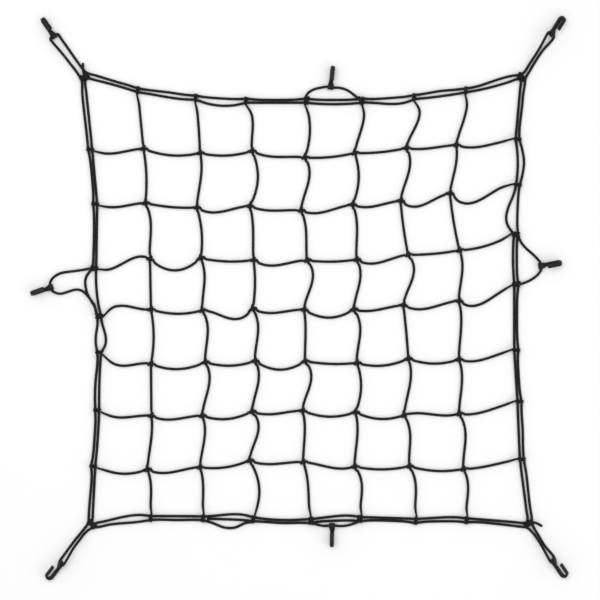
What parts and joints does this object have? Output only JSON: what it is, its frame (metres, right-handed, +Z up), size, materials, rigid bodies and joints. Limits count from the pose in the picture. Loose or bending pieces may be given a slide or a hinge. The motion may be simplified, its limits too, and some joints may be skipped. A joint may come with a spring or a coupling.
{
  "type": "cargo net",
  "caption": "Flat square cargo net of knotted black elastic cord, with a border cord and moulded plastic hooks at its corners and sides.",
  "frame": {"origin": "middle of the laid-out net and hooks, on the surface they lie on", "axes": "+Z up from the surface; +Y towards the side with the top hook; +X towards the side with the right hook"},
  "size_m": [1.0013, 1.0498, 0.0204],
  "materials": {
    "cord": "braided matt black sheath",
    "hook": "moulded satin black"
  },
  "bodies": {
    "root": {"border_cord": "cord", "hook_bottom": "hook", "hook_bottom_left": "hook", "hook_bottom_right": "hook", "hook_left": "hook", "hook_right": "hook", "hook_top": "hook", "hook_top_left": "hook", "hook_top_right": "hook", "loop_bottom": "cord", "loop_left": "cord", "loop_right": "cord", "loop_top": "cord", "net_mesh": "cord"}
  },
  "joints": []
}
